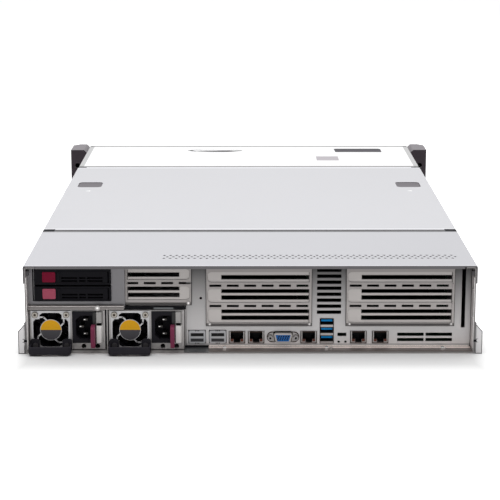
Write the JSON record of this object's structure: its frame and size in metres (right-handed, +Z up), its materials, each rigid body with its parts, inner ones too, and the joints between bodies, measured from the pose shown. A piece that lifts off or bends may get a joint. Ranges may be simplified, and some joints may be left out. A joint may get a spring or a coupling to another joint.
{
  "type": "rack server",
  "caption": "Rack server two units high, with lift-off covers, two pull-out power supplies, rear and front drive carriers, expansion slots and a row of ports.",
  "frame": {"origin": "middle of the footprint, on the surface that the server stands on", "axes": "+X to the right as seen from behind, +Y from the rear wall to the front bays, +Z up"},
  "size_m": [0.4826, 0.75, 0.0875],
  "materials": {
    "plated_steel": "zinc plated sheet, satin",
    "cover_steel": "satin plated sheet",
    "front_cover_steel": "pale satin plated sheet",
    "bright_steel": "bright plated sheet",
    "riser_steel": "zinc plated sheet, satin",
    "ear_plastic": "moulded, fine texture",
    "black_plastic": "moulded, fine texture",
    "grey_plastic": "moulded, fine texture",
    "crimson_plastic": "moulded, satin",
    "port_metal": "stamped tin plated shell",
    "video_shell": "stamped tin plated shell",
    "board_green": "glass fibre board with solder mask",
    "fin_aluminium": "bare extruded and stamped",
    "memory_green": "glass fibre board with solder mask"
  },
  "bodies": {
    "chassis": {"chassis_tray": "plated_steel", "rail_stops": "bright_steel", "rear_panel": "plated_steel", "front_cover": "front_cover_steel", "ear_left": "ear_plastic", "ear_right": "ear_plastic", "riser_cage_a": "riser_steel", "riser_cage_b": "riser_steel", "riser_cage_c": "riser_steel", "slot_blanks": "riser_steel", "riser_boards": "board_green", "twin_ports": "black_plastic", "network_jacks": "black_plastic", "vga_port": "video_shell", "usb_ports": "port_metal", "panel_screws": "bright_steel", "rear_drive_cage": "plated_steel", "front_cage": "plated_steel", "drive_blanks": "black_plastic", "system_board": "board_green", "heat_sinks": "fin_aluminium", "memory_modules": "memory_green", "drive_backplanes": "board_green", "fan_frames": "black_plastic"},
    "rear_cover": {"rear_cover": "cover_steel"},
    "middle_cover": {"middle_cover": "cover_steel"},
    "cover_pad_left": {"cover_pad_left": "grey_plastic"},
    "cover_pad_right": {"cover_pad_right": "grey_plastic"},
    "power_button": {"power_button": "grey_plastic"},
    "psu_left": {"psu_left_case": "plated_steel", "psu_left_guard": "bright_steel", "psu_left_handle": "black_plastic", "psu_left_inlet": "black_plastic"},
    "psu_left_latch": {"psu_left_latch": "crimson_plastic"},
    "psu_left_fan": {"psu_left_rotor": "black_plastic"},
    "psu_right": {"psu_right_case": "plated_steel", "psu_right_guard": "bright_steel", "psu_right_handle": "black_plastic", "psu_right_inlet": "black_plastic"},
    "psu_right_latch": {"psu_right_latch": "crimson_plastic"},
    "psu_right_fan": {"psu_right_rotor": "black_plastic"},
    "rear_carrier_lower": {"rear_carrier_lower": "black_plastic"},
    "rear_lever_lower": {"rear_lever_lower": "black_plastic"},
    "rear_button_lower": {"rear_button_lower": "crimson_plastic"},
    "rear_carrier_upper": {"rear_carrier_upper": "black_plastic"},
    "rear_lever_upper": {"rear_lever_upper": "black_plastic"},
    "rear_button_upper": {"rear_button_upper": "crimson_plastic"},
    "front_carrier_1": {"front_carrier_1": "black_plastic"},
    "front_lever_1": {"front_lever_1": "grey_plastic"},
    "front_carrier_2": {"front_carrier_2": "black_plastic"},
    "front_lever_2": {"front_lever_2": "grey_plastic"},
    "front_carrier_3": {"front_carrier_3": "black_plastic"},
    "front_lever_3": {"front_lever_3": "grey_plastic"},
    "front_carrier_4": {"front_carrier_4": "black_plastic"},
    "front_lever_4": {"front_lever_4": "grey_plastic"},
    "fan_1": {"fan_rotor_1": "black_plastic"},
    "fan_2": {"fan_rotor_2": "black_plastic"},
    "fan_3": {"fan_rotor_3": "black_plastic"},
    "fan_4": {"fan_rotor_4": "black_plastic"}
  },
  "joints": [
    {"name": "rear_cover_lift", "type": "slide", "parent": "chassis", "child": "rear_cover", "axis": [0, 0, 1], "range_m": [0, 0.05]},
    {"name": "middle_cover_lift", "type": "slide", "parent": "chassis", "child": "middle_cover", "axis": [0, 0, 1], "range_m": [0, 0.05]},
    {"name": "cover_pad_left_press", "type": "slide", "parent": "middle_cover", "child": "cover_pad_left", "axis": [0, 0, -1], "range_m": [0, 0.002], "stiffness_N_per_m": 1000, "springref_m": -0.0003},
    {"name": "cover_pad_right_press", "type": "slide", "parent": "middle_cover", "child": "cover_pad_right", "axis": [0, 0, -1], "range_m": [0, 0.002], "stiffness_N_per_m": 1000, "springref_m": -0.0003},
    {"name": "power_button_press", "type": "slide", "parent": "chassis", "child": "power_button", "axis": [0, -1, 0], "range_m": [0, 0.0015], "stiffness_N_per_m": 800},
    {"name": "psu_left_slide", "type": "slide", "parent": "chassis", "child": "psu_left", "axis": [0, -1, 0], "range_m": [0, 0.19]},
    {"name": "psu_left_latch_press", "type": "slide", "parent": "psu_left", "child": "psu_left_latch", "axis": [-1, 0, 0], "range_m": [0, 0.002], "stiffness_N_per_m": 1200},
    {"name": "psu_left_fan_spin", "type": "hinge", "parent": "psu_left", "child": "psu_left_fan", "pos_m": [-0.1941, -0.346, 0.0217], "axis": [0, 1, 0], "continuous": true},
    {"name": "psu_right_slide", "type": "slide", "parent": "chassis", "child": "psu_right", "axis": [0, -1, 0], "range_m": [0, 0.19]},
    {"name": "psu_right_latch_press", "type": "slide", "parent": "psu_right", "child": "psu_right_latch", "axis": [-1, 0, 0], "range_m": [0, 0.002], "stiffness_N_per_m": 1200},
    {"name": "psu_right_fan_spin", "type": "hinge", "parent": "psu_right", "child": "psu_right_fan", "pos_m": [-0.1171, -0.346, 0.0217], "axis": [0, 1, 0], "continuous": true},
    {"name": "rear_carrier_lower_slide", "type": "slide", "parent": "chassis", "child": "rear_carrier_lower", "axis": [0, -1, 0], "range_m": [0, 0.105]},
    {"name": "rear_lever_lower_swing", "type": "hinge", "parent": "rear_carrier_lower", "child": "rear_lever_lower", "pos_m": [-0.1392, -0.3553, 0.0577], "axis": [0, 0, 1], "range_deg": [0, 60]},
    {"name": "rear_button_lower_press", "type": "slide", "parent": "rear_carrier_lower", "child": "rear_button_lower", "axis": [0, 1, 0], "range_m": [0, 0.0015], "stiffness_N_per_m": 800},
    {"name": "rear_carrier_upper_slide", "type": "slide", "parent": "chassis", "child": "rear_carrier_upper", "axis": [0, -1, 0], "range_m": [0, 0.105]},
    {"name": "rear_lever_upper_swing", "type": "hinge", "parent": "rear_carrier_upper", "child": "rear_lever_upper", "pos_m": [-0.1392, -0.3553, 0.0743], "axis": [0, 0, 1], "range_deg": [0, 60]},
    {"name": "rear_button_upper_press", "type": "slide", "parent": "rear_carrier_upper", "child": "rear_button_upper", "axis": [0, 1, 0], "range_m": [0, 0.0015], "stiffness_N_per_m": 800},
    {"name": "front_carrier_1_slide", "type": "slide", "parent": "chassis", "child": "front_carrier_1", "axis": [0, 1, 0], "range_m": [0, 0.15]},
    {"name": "front_lever_1_swing", "type": "hinge", "parent": "front_carrier_1", "child": "front_lever_1", "pos_m": [-0.19255, 0.372, 0.017], "axis": [0, 0, 1], "range_deg": [0, 50]},
    {"name": "front_carrier_2_slide", "type": "slide", "parent": "chassis", "child": "front_carrier_2", "axis": [0, 1, 0], "range_m": [0, 0.15]},
    {"name": "front_lever_2_swing", "type": "hinge", "parent": "front_carrier_2", "child": "front_lever_2", "pos_m": [-0.08485, 0.372, 0.017], "axis": [0, 0, 1], "range_deg": [0, 50]},
    {"name": "front_carrier_3_slide", "type": "slide", "parent": "chassis", "child": "front_carrier_3", "axis": [0, 1, 0], "range_m": [0, 0.15]},
    {"name": "front_lever_3_swing", "type": "hinge", "parent": "front_carrier_3", "child": "front_lever_3", "pos_m": [0.02285, 0.372, 0.017], "axis": [0, 0, 1], "range_deg": [0, 50]},
    {"name": "front_carrier_4_slide", "type": "slide", "parent": "chassis", "child": "front_carrier_4", "axis": [0, 1, 0], "range_m": [0, 0.15]},
    {"name": "front_lever_4_swing", "type": "hinge", "parent": "front_carrier_4", "child": "front_lever_4", "pos_m": [0.13055, 0.372, 0.017], "axis": [0, 0, 1], "range_deg": [0, 50]},
    {"name": "fan_1_spin", "type": "hinge", "parent": "chassis", "child": "fan_1", "pos_m": [-0.156, 0.156, 0.0413], "axis": [0, 1, 0], "continuous": true},
    {"name": "fan_2_spin", "type": "hinge", "parent": "chassis", "child": "fan_2", "pos_m": [-0.052, 0.156, 0.0413], "axis": [0, 1, 0], "continuous": true},
    {"name": "fan_3_spin", "type": "hinge", "parent": "chassis", "child": "fan_3", "pos_m": [0.052, 0.156, 0.0413], "axis": [0, 1, 0], "continuous": true},
    {"name": "fan_4_spin", "type": "hinge", "parent": "chassis", "child": "fan_4", "pos_m": [0.156, 0.156, 0.0413], "axis": [0, 1, 0], "continuous": true}
  ]
}
